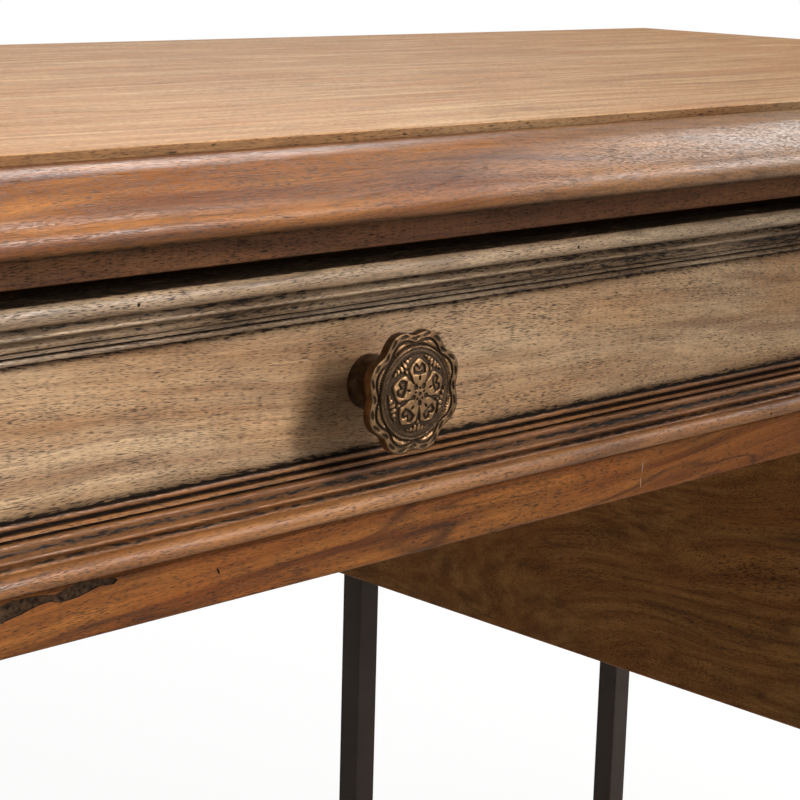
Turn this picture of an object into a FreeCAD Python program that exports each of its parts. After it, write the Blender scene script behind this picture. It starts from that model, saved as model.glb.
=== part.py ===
import FreeCAD, Part
import math
import os

# Kneehole writing desk of solid wood on iron legs, in millimetres.
# X runs along the desk, Y from front to back and Z up.
# The origin is on the floor, under the middle of the top.

# Whole desk
desk_height = 760.0
kneehole_width = 734.0
pedestal_width = 298.0
carcass_depth = 430.0

# Boards of the carcass
board = 20.0
back_board = 12.0
rail_depth = 60.0
runner_width = 20.0

# Top
top_thickness = 28.0
top_overhang = 24.5
edging_width = 26.0
edging_step = 3.4
nose_bead = 4.6
top_rail_thickness = 12.5
top_rail_width = 70.0

# Drawers
upper_front_height = 90.0
lower_front_height = 150.0
field_setback = 6.0
front_thickness = 18.0
box_side = 12.0
box_bottom = 6.0
box_below_front = 4.0
bottom_lift = 8.0
groove_depth = 5.0

# Gaps that let the drawers move
gap_above_front = 4.0
gap_below_front = 1.5
gap_beside_front = 1.5
gap_beside_box = 2.0
gap_behind_box = 8.0
slide_gap = 0.3

# Applied mouldings of the drawer fronts, outer edge to field
moulding_width = 20.5
moulding_height = 13.5
torus = 3.5

# Knob
knob_diameter = 45.0
knob_notch = 2.2
knob_lobes = 8
knob_face_reach = 24.0
knob_rim = 4.0
knob_dome = 2.6
knob_stem = 20.0
bolt_diameter = 4.0
bolt_head_diameter = 8.0
bolt_head = 2.5
bolt_in_knob = 12.0

# Iron legs
leg_bar = 16.0
leg_inset = 12.0
plate_size = 48.0
plate_thickness = 3.0
foot = 3.0
plate_hole_near = 14.0
plate_hole_far = 36.0

# Screws
screw_diameter = 4.0
screw_head_diameter = 7.5
screw_head = 2.0
leg_screw_length = 20.0
top_screw_length = 30.0
screw_gap = 0.05
hole_gap = 0.3

# Blocks that stop the drawers
stop_length = 40.0
stop_width = 12.0
stop_height = 6.0

# Heights and places that follow from the above
top_under = desk_height - top_thickness
opening_top = top_under - top_rail_thickness
upper_front_top = opening_top - gap_above_front
rail_top = upper_front_top - upper_front_height - gap_below_front
rail_bottom = rail_top - board
lower_front_top = rail_bottom - gap_above_front
bottom_top = lower_front_top - lower_front_height - gap_below_front
pedestal_under = bottom_top - board
inner_face = kneehole_width / 2
outer_face = inner_face + pedestal_width
front_face = -carcass_depth / 2
back_face = carcass_depth / 2
inside_back = back_face - back_board
box_end = inside_back - gap_behind_box
field_face = front_face + field_setback
front_back = field_face + front_thickness
pedestal_middle = (inner_face + outer_face) / 2
pedestal_opening = pedestal_width - 2 * board

os.makedirs("parts", exist_ok=True)


def save(name, solids):
    """Writes one piece, or a group of like pieces, to its own file."""
    shape = solids[0] if len(solids) == 1 else Part.makeCompound(solids)
    shape.exportStep(f"parts/{name}.step")


def block(x, y, z):
    """A board between two places along each axis, given in either order."""
    low = [min(pair) for pair in (x, y, z)]
    high = [max(pair) for pair in (x, y, z)]
    size = [b - a for a, b in zip(low, high)]
    return Part.makeBox(*size, FreeCAD.Vector(*low))


def outline(steps):
    """A closed face in the YZ plane. A step of one point is a line, of two an arc through the first."""
    points = [[FreeCAD.Vector(0, u, h) for u, h in step] for step in steps]
    edges = []
    for before, step in zip(points[-1:] + points[:-1], points):
        start = before[-1]
        if len(step) == 1:
            edges.append(Part.makeLine(start, step[0]))
        else:
            edges.append(Part.Arc(start, step[0], step[1]).toShape())
    return Part.Face(Part.Wire(edges))


def mitred_frame(face, across, width, height, reach):
    """Four strips of one profile, mitred round a rectangle that lies in the XY plane about the origin."""
    strips = []
    for turn in range(4):
        length, other = (width, height) if turn % 2 == 0 else (height, width)
        corners = [(0, 0), (length, 0), (length - across, across), (across, across), (0, 0)]
        wedge = Part.Face(Part.makePolygon([FreeCAD.Vector(x, y, -reach) for x, y in corners]))
        strip = face.extrude(FreeCAD.Vector(length, 0, 0))
        strip = strip.common(wedge.extrude(FreeCAD.Vector(0, 0, 3 * reach)))
        strip.translate(FreeCAD.Vector(-length / 2, -other / 2, 0))
        strip.rotate(FreeCAD.Vector(), FreeCAD.Vector(0, 0, 1), 90 * turn)
        strips.append(strip.Solids[0])
    return strips


def screw(x, y, z, length):
    """A wood screw driven upward, its head's underside at z, and the hole that it fills."""
    place = FreeCAD.Vector(x, y, z)
    up = FreeCAD.Vector(0, 0, 1)
    head = Part.makeCylinder(screw_head_diameter / 2, screw_head, place, -up)
    shank = Part.makeCylinder(screw_diameter / 2, length, place, up)
    hole = Part.makeCylinder(screw_diameter / 2 + screw_gap, length + screw_gap, place, up)
    return head.fuse(shank).removeSplitter().Solids[0], hole


def bored(piece, holes):
    """The piece with holes cut in it."""
    return piece.cut(Part.makeCompound(holes)).Solids[0]


def edging_profile():
    """Edge of the top, from the nose inward: a soft bead, a broad round over and a step."""
    shoulder = top_thickness - edging_step
    foot_of_round = (nose_bead * 0.65, nose_bead * 2.30)
    bead_start = (nose_bead * 0.36, nose_bead * 1.77)
    return outline([
        [(edging_width, 0)],
        [(edging_width, shoulder)],
        [(edging_width * 0.721, shoulder * 0.963), (edging_width * 0.442, shoulder * 0.845)],
        [(edging_width * 0.242, shoulder * 0.670), foot_of_round],
        [(nose_bead * 0.535, nose_bead * 2.02), bead_start],
        [(0, nose_bead), (nose_bead, 0)],
    ])


def moulding_profile():
    """Drawer moulding, from the outer edge to the field: torus, coves, shoulder, fillet and bead."""
    step = torus * 2
    crest = moulding_height - torus
    span = moulding_width - step
    return outline([
        [(0, 0)],
        [(0, crest)],
        [(torus, moulding_height), (step, crest)],
        [(step, crest * 0.84)],
        [(step + span * 0.10, crest * 0.77), (step + span * 0.19, crest * 0.86)],
        [(step + span * 0.26, crest * 0.92), (step + span * 0.32, crest * 0.85)],
        [(step + span * 0.39, crest * 0.69), (step + span * 0.49, crest * 0.65)],
        [(step + span * 0.56, crest * 0.66), (step + span * 0.61, crest * 0.58)],
        [(step + span * 0.61, crest * 0.28)],
        [(step + span * 0.65, crest * 0.28)],
        [(step + span * 0.65, crest * 0.38)],
        [(step + span * 0.76, crest * 0.38)],
        [(step + span * 0.76, crest * 0.12)],
        [(step + span * 0.81, crest * 0.12)],
        [(step + span * 0.905, crest * 0.25), (moulding_width, crest * 0.12)],
        [(moulding_width, 0)],
    ])


def knob_shape():
    """Cast knob about the Y axis, its foot on the XZ plane: turned stem, lobed head and low dome."""
    radius = knob_diameter / 2
    stem = knob_stem / 2
    head_back = knob_face_reach - knob_rim
    forward = FreeCAD.Vector(0, -1, 0)
    ring_face = knob_face_reach + knob_dome * 0.3
    dome_top = knob_face_reach + knob_dome
    dome_foot = radius * 0.66
    dome_rise = dome_top - ring_face
    dome_radius = (dome_foot ** 2 + dome_rise ** 2) / (2 * dome_rise)
    half_angle = math.asin(dome_foot / dome_radius) / 2
    dome_middle = (dome_radius * (1 - math.cos(half_angle)) - dome_top, dome_radius * math.sin(half_angle))
    turned = outline([
        [(0, 0)],
        [(0, stem)],
        [(-head_back * 0.08, stem)],
        [(-head_back * 0.30, stem * 0.86), (-head_back * 0.52, stem * 0.97)],
        [(-head_back * 0.52, stem * 1.06)],
        [(-head_back * 0.62, stem * 1.06)],
        [(-head_back * 0.62, stem)],
        [(-head_back * 0.86, stem * 1.15), (-head_back, radius * 0.76)],
        [(-knob_face_reach, radius * 0.76)],
        [(-ring_face, radius * 0.72)],
        [(-ring_face, dome_foot)],
        [dome_middle, (-dome_top, 0)],
    ])
    turned = turned.revolve(FreeCAD.Vector(), FreeCAD.Vector(0, 1, 0), 360)
    lobes = []
    for lobe in range(knob_lobes):
        places = []
        for share, reach in ((0, radius - knob_notch), (0.5, radius), (1, radius - knob_notch)):
            angle = 2 * math.pi * (lobe + share) / knob_lobes
            places.append(FreeCAD.Vector(reach * math.cos(angle), -head_back, reach * math.sin(angle)))
        lobes.append(Part.Arc(*places).toShape())
    head = Part.Face(Part.Wire(lobes)).extrude(forward * knob_rim)
    socket = Part.makeCylinder(bolt_diameter / 2 + screw_gap, bolt_in_knob, FreeCAD.Vector(), forward)
    return turned.fuse(head).removeSplitter().cut(socket).Solids[0]


def bolt_shape():
    """Machine screw that holds a knob, about the Y axis, its head's underside on the XZ plane."""
    back = FreeCAD.Vector(0, 1, 0)
    head = Part.makeCylinder(bolt_head_diameter / 2, bolt_head, FreeCAD.Vector(), back)
    length = front_thickness + bolt_in_knob - slide_gap
    shank = Part.makeCylinder(bolt_diameter / 2, length, FreeCAD.Vector(), -back)
    return head.fuse(shank).removeSplitter().Solids[0]


def drawer(name, middle, opening, floor, front_height):
    """One drawer: front board, its mouldings, box, bottom, knob and the bolt that holds the knob."""
    front_low = floor + gap_below_front
    knob_level = front_low + front_height / 2
    front_half = opening / 2 - gap_beside_front
    box_half = opening / 2 - gap_beside_box
    box_low = floor + slide_gap
    box_high = box_low + front_height - box_below_front
    bottom_low = box_low + bottom_lift
    bottom_high = bottom_low + box_bottom
    clear_half = box_half - box_side

    bottom = block(
        (middle - clear_half - groove_depth, middle + clear_half + groove_depth),
        (front_back - groove_depth, box_end),
        (bottom_low, bottom_high),
    )
    front = block(
        (middle - front_half, middle + front_half),
        (field_face, front_back),
        (front_low, front_low + front_height),
    )
    hole = Part.makeCylinder(
        bolt_diameter / 2 + hole_gap,
        front_thickness,
        FreeCAD.Vector(middle, field_face, knob_level),
        FreeCAD.Vector(0, 1, 0),
    )
    save(f"{name}_front", [bored(front, [bottom, hole])])

    strips = mitred_frame(moulding_profile(), moulding_width, 2 * front_half, front_height, moulding_height)
    for strip in strips:
        strip.rotate(FreeCAD.Vector(), FreeCAD.Vector(1, 0, 0), 90)
        strip.translate(FreeCAD.Vector(middle, field_face, knob_level))
    save(f"{name}_mouldings", strips)

    pieces = []
    for side in (-1, 1):
        wall = block(
            (middle + side * clear_half, middle + side * box_half),
            (front_back, box_end),
            (box_low, box_high),
        )
        pieces.append(bored(wall, [bottom]))
    pieces.append(block(
        (middle - clear_half, middle + clear_half),
        (box_end - box_side, box_end),
        (bottom_high, box_high),
    ))
    save(f"{name}_box", pieces)
    save(f"{name}_bottom", [bottom])

    knob = knob_shape()
    knob.translate(FreeCAD.Vector(middle, field_face, knob_level))
    save(f"{name}_knob", [knob])
    bolt = bolt_shape()
    bolt.translate(FreeCAD.Vector(middle, front_back, knob_level))
    save(f"{name}_knob_bolt", [bolt])


# Frame of thin rails under the top, and the screws that hold the top down on it
rail_ends = (-outer_face, outer_face)
rail_level = (opening_top, top_under)
long_rails = {
    "front_top_rail": block(rail_ends, (front_face, front_face + top_rail_width), rail_level),
    "back_top_rail": block(rail_ends, (back_face - top_rail_width, back_face), rail_level),
}
cross_rails = []
top_screws = []
top_holes = []
rail_middle = top_rail_width / 2
for side in (-1, 1):
    for edge in (inner_face, outer_face - top_rail_width):
        cross_rails.append(block(
            (side * edge, side * (edge + top_rail_width)),
            (front_face + top_rail_width, back_face - top_rail_width),
            rail_level,
        ))
    for across in (inner_face / 2, pedestal_middle):
        for along in (front_face + rail_middle, back_face - rail_middle):
            piece, hole = screw(side * across, along, opening_top, top_screw_length)
            head_seat = Part.makeCylinder(
                screw_head_diameter / 2 + hole_gap,
                screw_head,
                FreeCAD.Vector(side * across, along, opening_top),
            )
            piece.translate(FreeCAD.Vector(0, 0, screw_head))
            hole.translate(FreeCAD.Vector(0, 0, screw_head))
            top_screws.append(piece)
            top_holes.extend([hole, head_seat])
for name, rail in long_rails.items():
    save(name, [bored(rail, top_holes)])
save("top_cross_rails", cross_rails)
save("top_screws", top_screws)

# Top: glued-up board with mitred moulded edging
panel_half_width = outer_face + top_overhang - edging_width
panel_half_depth = carcass_depth / 2 + top_overhang - edging_width
panel = block(
    (-panel_half_width, panel_half_width),
    (-panel_half_depth, panel_half_depth),
    (top_under, desk_height),
)
save("top_panel", [bored(panel, top_holes)])
edging = mitred_frame(
    edging_profile(),
    edging_width,
    2 * (outer_face + top_overhang),
    carcass_depth + 2 * top_overhang,
    top_thickness,
)
for strip in edging:
    strip.translate(FreeCAD.Vector(0, 0, top_under))
save("top_edging", edging)

# Kneehole: rail under the wide drawer and board behind it
save("kneehole_rail", [block(
    (-inner_face, inner_face),
    (front_face, front_face + rail_depth),
    (rail_bottom, rail_top),
)])
save("kneehole_back", [block(
    (-inner_face, inner_face),
    (inside_back, back_face),
    (rail_bottom, opening_top),
)])

# Pedestals, each between an inner and an outer side, and the iron legs under them
leg_screws = []
leg_feet = []
runners = []
plate_under = pedestal_under - plate_thickness
for side, hand in ((-1, "left"), (1, "right")):
    clear_inner = side * (inner_face + board)
    clear_outer = side * (outer_face - board)
    upright = (pedestal_under, opening_top)
    depth = (front_face, back_face)
    save(f"{hand}_inner_side", [block((side * inner_face, clear_inner), depth, upright)])
    save(f"{hand}_outer_side", [block((clear_outer, side * outer_face), depth, upright)])
    save(f"{hand}_back", [block((clear_inner, clear_outer), (inside_back, back_face), upright)])
    save(f"{hand}_divider", [block(
        (clear_inner, clear_outer),
        (front_face, front_face + rail_depth),
        (rail_bottom, rail_top),
    )])
    for start, way in ((side * inner_face, -side), (clear_inner, side), (clear_outer, -side)):
        runners.append(block(
            (start, start + way * runner_width),
            (front_face + rail_depth, inside_back),
            (rail_bottom, rail_top),
        ))

    pilot_holes = []
    corners = (
        ("inner", side * (inner_face + leg_inset), side),
        ("outer", side * (outer_face - leg_inset), -side),
    )
    for which, corner_x, inward_x in corners:
        ends = (("front", front_face + leg_inset, 1), ("rear", back_face - leg_inset, -1))
        for end, corner_y, inward_y in ends:
            bar_x = (corner_x, corner_x + inward_x * leg_bar)
            bar_y = (corner_y, corner_y + inward_y * leg_bar)
            leg = block(bar_x, bar_y, (foot, plate_under))
            plate = block(
                (corner_x, corner_x + inward_x * plate_size),
                (corner_y, corner_y + inward_y * plate_size),
                (plate_under, pedestal_under),
            )
            plate_holes = []
            for hole_x, hole_y in (
                (plate_hole_far, plate_hole_near),
                (plate_hole_far, plate_hole_far),
                (plate_hole_near, plate_hole_far),
            ):
                piece, hole = screw(
                    corner_x + inward_x * hole_x,
                    corner_y + inward_y * hole_y,
                    plate_under,
                    leg_screw_length - screw_head,
                )
                leg_screws.append(piece)
                plate_holes.append(hole)
            pilot_holes.extend(plate_holes)
            leg = bored(leg.fuse(plate).removeSplitter(), plate_holes)
            save(f"{hand}_{end}_{which}_leg", [leg])
            leg_feet.append(block(bar_x, bar_y, (0, foot)))
    bottom = block((clear_inner, clear_outer), (front_face, inside_back), (pedestal_under, bottom_top))
    save(f"{hand}_bottom", [bored(bottom, pilot_holes)])
save("drawer_runners", runners)
save("leg_screws", leg_screws)
save("leg_feet", leg_feet)

# Blocks behind the drawer fronts, glued to what the drawers slide over
stops = []
for middle, floor in (
    (-inner_face / 2, rail_top),
    (inner_face / 2, rail_top),
    (-pedestal_middle, rail_top),
    (pedestal_middle, rail_top),
    (-pedestal_middle, bottom_top),
    (pedestal_middle, bottom_top),
):
    stops.append(block(
        (middle - stop_length / 2, middle + stop_length / 2),
        (front_back + slide_gap, front_back + slide_gap + stop_width),
        (floor, floor + stop_height),
    ))
save("drawer_stops", stops)

# Drawers
drawer("centre_drawer", 0.0, kneehole_width, rail_top, upper_front_height)
for side, hand in ((-1, "left"), (1, "right")):
    middle = side * pedestal_middle
    drawer(f"{hand}_upper_drawer", middle, pedestal_opening, rail_top, upper_front_height)
    drawer(f"{hand}_lower_drawer", middle, pedestal_opening, bottom_top, lower_front_height)
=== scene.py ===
import math

import bpy
from mathutils import Matrix, Vector, noise


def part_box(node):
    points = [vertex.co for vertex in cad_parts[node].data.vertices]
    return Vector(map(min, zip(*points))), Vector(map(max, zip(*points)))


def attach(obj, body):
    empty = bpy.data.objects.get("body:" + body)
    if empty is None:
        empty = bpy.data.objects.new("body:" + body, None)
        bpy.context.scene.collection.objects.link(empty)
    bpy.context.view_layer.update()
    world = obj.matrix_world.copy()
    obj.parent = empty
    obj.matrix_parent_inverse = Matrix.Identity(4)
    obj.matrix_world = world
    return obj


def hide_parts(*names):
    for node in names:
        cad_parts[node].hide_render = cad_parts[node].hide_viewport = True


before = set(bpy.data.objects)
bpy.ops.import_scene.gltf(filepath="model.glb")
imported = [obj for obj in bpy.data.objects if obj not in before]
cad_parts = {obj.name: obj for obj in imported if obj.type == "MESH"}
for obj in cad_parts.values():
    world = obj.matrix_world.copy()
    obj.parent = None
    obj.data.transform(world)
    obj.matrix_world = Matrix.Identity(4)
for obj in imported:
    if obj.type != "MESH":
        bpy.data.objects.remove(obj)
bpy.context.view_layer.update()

# Boards of the top
# Five mango planks glued edge to edge, planed by hand and waxed. They stand a few millimetres proud of the
# moulded edging, and their front edge is stained dark where the wax has gathered.
MM = 0.001
PLANK_WIDTHS = (92, 78, 96, 84, 77)


def linear(code):
    """A hex sRGB colour as linear red, green and blue with full cover."""
    shares = [int(code[i:i + 2], 16) / 255 for i in (1, 3, 5)]
    return [s / 12.92 if s <= 0.04045 else ((s + 0.055) / 1.055) ** 2.4 for s in shares] + [1.0]


def add(tree, kind, inputs, **settings):
    """A node of one kind with its settings. Its inputs go by name or number, each a value or a socket."""
    made = tree.nodes.new("ShaderNode" + kind)
    for setting, value in settings.items():
        setattr(made, setting, value)
    for place, value in inputs.items():
        if isinstance(value, bpy.types.NodeSocket):
            tree.links.new(value, made.inputs[place])
        else:
            made.inputs[place].default_value = value
    return made


def new_finish(name):
    """A new material with its node tree and its shader."""
    material = bpy.data.materials.new(name)
    material.use_nodes = True
    return material, material.node_tree, material.node_tree.nodes["Principled BSDF"]


def mango(name, pale, deep, ruddy, turn=(0, 0, 0), pores=0.5, warmth=0.5, veins=0.2, sawn=0.0,
          curl=0.04, swirl=26, rough=0.42, shine=0.35):
    """Waxed mango wood: sliding streaks, short dark pores along the grain, black wax where it gathers, and
    painted shade laid on through the same wax layer.
    """
    soft = {"interpolation_type": "SMOOTHSTEP"}
    material, tree, shader = new_finish(name)
    place = add(tree, "TexCoord", {}).outputs["Object"]
    plank = add(tree, "Attribute", {}, attribute_name="plank").outputs["Fac"]
    wax_and_shade = add(tree, "Attribute", {}, attribute_name="wax_and_shade").outputs["Fac"]
    sapwood_and_sheen = add(tree, "Attribute", {}, attribute_name="sapwood_and_sheen").outputs["Fac"]

    # Millimetres with the grain along X, each plank cut from another place in the log
    lain = add(tree, "Mapping", {"Vector": place, "Rotation": turn, "Scale": (1000, 1000, 1000)}).outputs[0]
    shift = add(tree, "VectorMath", {0: (1733, 391, 517), "Scale": plank}, operation="SCALE").outputs[0]
    log = add(tree, "VectorMath", {0: lain, 1: shift}, operation="ADD").outputs[0]

    # Grain that sways over a hand's length, by so many millimetres at most
    slow = add(tree, "Mapping", {"Vector": log, "Scale": (1 / 230, 1 / 70, 1 / 70)}).outputs[0]
    sway = add(tree, "TexNoise", {"Vector": slow, "Scale": 1, "Detail": 1}).outputs["Color"]
    sway = add(tree, "VectorMath", {0: sway, 1: (0.5, 0.5, 0.5)}, operation="SUBTRACT").outputs[0]
    sway = add(tree, "VectorMath", {0: sway, 1: (0, swirl, swirl)}, operation="MULTIPLY").outputs[0]
    fibre = add(tree, "VectorMath", {0: log, 1: sway}, operation="ADD").outputs[0]

    # Each kind of figure: millimetres along and across the grain, detail, the range of the noise that is
    # used and the range that it is stretched to, which are a MapRange's inputs 1 and 2 and then 3 and 4
    figure, level = {}, {}
    for kind, along, across, detail, low, high, bottom, top in (
        ("streak", 190, 5, 4, 0.33, 0.66, 0, 1),
        ("patch", 110, 24, 3, 0.40, 0.68, 0, warmth),
        ("rings", 240, 26, 2, 0, 1, 0, 11),
        ("broken", 60, 20, 2, 0.36, 0.58, 0, veins),
        ("thread", 26, 0.7, 2, 0.25, 0.75, 0.74, 1.2),
        ("curl", 1.8, 22, 2, 0.3, 0.7, 1 - curl, 1 + curl),
        ("band", 40, 8, 2, 0.3, 0.7, -0.05, 0.05),
        ("dash", 2.6, 0.22, 0, 0, 1, 0, 1),
        ("fleck", 6.5, 0.3, 1, 0, 1, 0, 1),
        ("kerf", 0.45, 30, 2, 0.42, 0.72, 0, sawn),
        ("ragged", 4.5, 0.7, 4, 0.3, 0.7, -0.45, 0.45),
    ):
        size = (1 / along, 1 / across, 1 / across)
        spread = add(tree, "Mapping", {"Vector": fibre, "Scale": size}).outputs[0]
        figure[kind] = add(tree, "TexNoise", {"Vector": spread, "Scale": 1, "Detail": detail}).outputs[0]
        level[kind] = add(tree, "MapRange", {0: figure[kind], 1: low, 2: high, 3: bottom, 4: top}).outputs[0]

    # Dark lines between the rings, broken here and there
    rings = add(tree, "Math", {0: level["rings"], 1: 0.5}, operation="PINGPONG").outputs[0]
    rings = add(tree, "MapRange", {0: rings, 1: 0, 2: 0.16, 3: 1, 4: 0}, **soft).outputs[0]
    rings = add(tree, "Math", {0: rings, 1: level["broken"]}, operation="MULTIPLY").outputs[0]

    # Pores: dark dashes 3 to 8 mm long, thick in some bands and thin in others
    dash = add(tree, "Math", {0: figure["dash"], 1: level["band"]}, operation="ADD").outputs[0]
    dash = add(tree, "MapRange", {0: dash, 1: 0.54, 2: 0.74, 4: pores}).outputs[0]
    fleck = add(tree, "Math", {0: figure["fleck"], 1: level["band"]}, operation="ADD").outputs[0]
    fleck = add(tree, "MapRange", {0: fleck, 1: 0.66, 2: 0.74, 4: pores * 1.4}).outputs[0]
    pore = add(tree, "Math", {0: dash, 1: fleck}, operation="MAXIMUM", use_clamp=True).outputs[0]

    # Here and there a pin knot
    cell = add(tree, "Mapping", {"Vector": fibre, "Scale": (1 / 75, 1 / 42, 1 / 42)}).outputs[0]
    knot = add(tree, "TexVoronoi", {"Vector": cell, "Scale": 1}).outputs["Distance"]
    knot = add(tree, "MapRange", {0: knot, 1: 0.015, 2: 0.05, 3: 0.7, 4: 0}).outputs[0]

    # A brown glaze where wax lies thin and black wax in the hollows, ragged along the grain; the same layers
    # also lay painted shade where the wax layer is used for it
    glaze_and_shade = add(tree, "MapRange", {0: wax_and_shade, 1: 0, 2: 0.7, 4: 0.68}, **soft).outputs[0]
    held = add(tree, "Math", {0: wax_and_shade, 1: 6.0}, operation="MULTIPLY", use_clamp=True).outputs[0]
    dirt_and_shade = add(tree, "Math", {0: wax_and_shade, 1: level["ragged"]}, operation="ADD").outputs[0]
    dirt_and_shade = add(tree, "MapRange", {0: dirt_and_shade, 1: 0.62, 2: 0.92, 4: 0.96}, **soft).outputs[0]
    dirt_and_shade = add(tree, "Math", {0: dirt_and_shade, 1: held}, operation="MULTIPLY").outputs[0]

    # The colours laid over each other, from the ground of the wood to the wax, with a pale streak that is
    # partly a painted sheen and wax layers that are partly painted shade. A Mix takes its share at input 0
    # and its two colours at 6 and 7
    colour = linear(deep)
    for share, over, way in (
        (level["streak"], linear(pale), "MIX"),
        (level["patch"], linear(ruddy), "MIX"),
        (sapwood_and_sheen, linear("#b1946f"), "MIX"),
        (rings, linear("#2e1a0f"), "MIX"),
        (1.0, level["thread"], "MULTIPLY"),
        (1.0, level["curl"], "MULTIPLY"),
        (pore, linear("#2c1f15"), "MIX"),
        (knot, linear("#20130b"), "MIX"),
        (level["kerf"], linear("#22160e"), "MIX"),
        (glaze_and_shade, linear("#3d2b1d"), "MIX"),
        (dirt_and_shade, linear("#120d0a"), "MIX"),
    ):
        colour = add(tree, "Mix", {0: share, 6: colour, 7: over}, data_type="RGBA", blend_type=way).outputs[2]
    tree.links.new(colour, shader.inputs["Base Color"])

    # Wax gives a soft sheen, duller in the pores and hardly any where it lies thick. The plain value of
    # the sheen is what an exported model keeps
    spread = {0: figure["thread"], 1: 0.3, 2: 0.7, 3: rough - 0.05, 4: rough + 0.09}
    dull = add(tree, "MapRange", spread).outputs[0]
    dull = add(tree, "Math", {0: pore, 1: 0.25, 2: dull}, operation="MULTIPLY_ADD").outputs[0]
    tree.links.new(dull, shader.inputs["Roughness"])
    sheen = add(tree, "MapRange", {0: wax_and_shade, 1: 0.1, 2: 0.6, 3: shine, 4: 0.06}).outputs[0]
    shader.inputs["Specular IOR Level"].default_value = shine
    tree.links.new(sheen, shader.inputs["Specular IOR Level"])
    height = add(tree, "Math", {0: pore, 1: -1.2, 2: figure["thread"]}, operation="MULTIPLY_ADD").outputs[0]
    bump = add(tree, "Bump", {"Height": height, "Strength": 0.45, "Distance": 0.0002}).outputs[0]
    tree.links.new(bump, shader.inputs["Normal"])
    return material


def board(name, low, high, rub, plank):
    """A planed board between two corners, its arrises rubbed round, marked with its place in the log."""
    bpy.ops.object.select_all(action="DESELECT")
    middle = [(a + b) / 2 for a, b in zip(low, high)]
    bpy.ops.mesh.primitive_cube_add(size=1, location=middle)
    piece = bpy.context.object
    piece.name = name
    piece.scale = [b - a for a, b in zip(low, high)]
    bpy.ops.object.transform_apply(location=True, rotation=True, scale=True)
    bpy.ops.object.mode_set(mode="EDIT")
    bpy.ops.mesh.select_all(action="SELECT")
    bpy.ops.mesh.bevel(offset=rub, segments=3, affect="EDGES")
    bpy.ops.object.mode_set(mode="OBJECT")
    flatten(piece)
    mark(piece, "plank", lambda place: plank)
    return piece


def flatten(piece):
    """Shades the planed faces of a board flat and its rubbed arrises smooth."""
    for face in piece.data.polygons:
        face.use_smooth = max(abs(n) for n in face.normal) < 0.999


def mark(piece, layer, value):
    """Stores a number on every point of a piece, worked out from the point's place."""
    points = piece.data.vertices
    numbers = piece.data.attributes.get(layer) or piece.data.attributes.new(layer, "FLOAT", "POINT")
    numbers.data.foreach_set("value", [value(point.co) for point in points])


def joined(name, pieces):
    """Several meshes as one piece."""
    bpy.ops.object.select_all(action="DESELECT")
    for piece in pieces:
        piece.select_set(True)
    bpy.context.view_layer.objects.active = pieces[0]
    bpy.ops.object.join()
    pieces[0].name = name
    return pieces[0]


def plank_wax(place):
    """Wax on the front edge of the top alone, thin at its arris and thick towards the edging."""
    if place.y > low[1] + 0.05 * MM:
        return 0.0
    return 0.85 if place.z < high[2] - 1.0 * MM else 0.4


low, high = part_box("top_panel")
planks = []
start = low[1]
for number, width in enumerate(PLANK_WIDTHS):
    end = start + width * MM
    log_place = 0.13 + 0.17 * number
    plank = board("plank", (low[0], start, low[2]), (high[0], end, high[2]), 0.5 * MM, log_place)
    mark(plank, "wax_and_shade", plank_wax)
    planks.append(plank)
    start = end
top_boards = joined("top_boards", planks)
# Pale straw to tan under little wax: streaks and short pores show, with hardly any gloss
top_wood = mango(
    "waxed_mango_top", "#d0a678", "#ab7a4d", "#b87f4c", pores=0.5, warmth=0.6, rough=0.5, shine=0.15
)
top_boards.data.materials.append(top_wood)
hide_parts("top_panel")
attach(top_boards, "carcass")

# Edging of the top
# Four lengths of moulding run from the same wood, mitred at the corners and glued round the planks: a step,
# a broad round over and a soft bead along the nose, worn smooth by hands.
EDGING_WIDTH = 26.0
EDGING_SHOULDER = 24.6


def arc(start, through, end, count):
    """Points on the circle through three places, from after the first to the last."""
    (ax, ay), (bx, by), (cx, cy) = start, through, end
    twice = 2 * (ax * (by - cy) + bx * (cy - ay) + cx * (ay - by))
    squares = ax * ax + ay * ay, bx * bx + by * by, cx * cx + cy * cy
    x = (squares[0] * (by - cy) + squares[1] * (cy - ay) + squares[2] * (ay - by)) / twice
    y = (squares[0] * (cx - bx) + squares[1] * (ax - cx) + squares[2] * (bx - ax)) / twice
    first = math.atan2(ay - y, ax - x)
    middle = math.atan2(by - y, bx - x)
    last = math.atan2(cy - y, cx - x)
    way = 1 if (middle - first) % math.tau < (last - first) % math.tau else -1
    sweep = ((last - first) * way) % math.tau
    radius = math.hypot(ax - x, ay - y)
    angles = [first + way * sweep * (step + 1) / count for step in range(count)]
    return [(x + radius * math.cos(a), y + radius * math.sin(a)) for a in angles]


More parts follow.
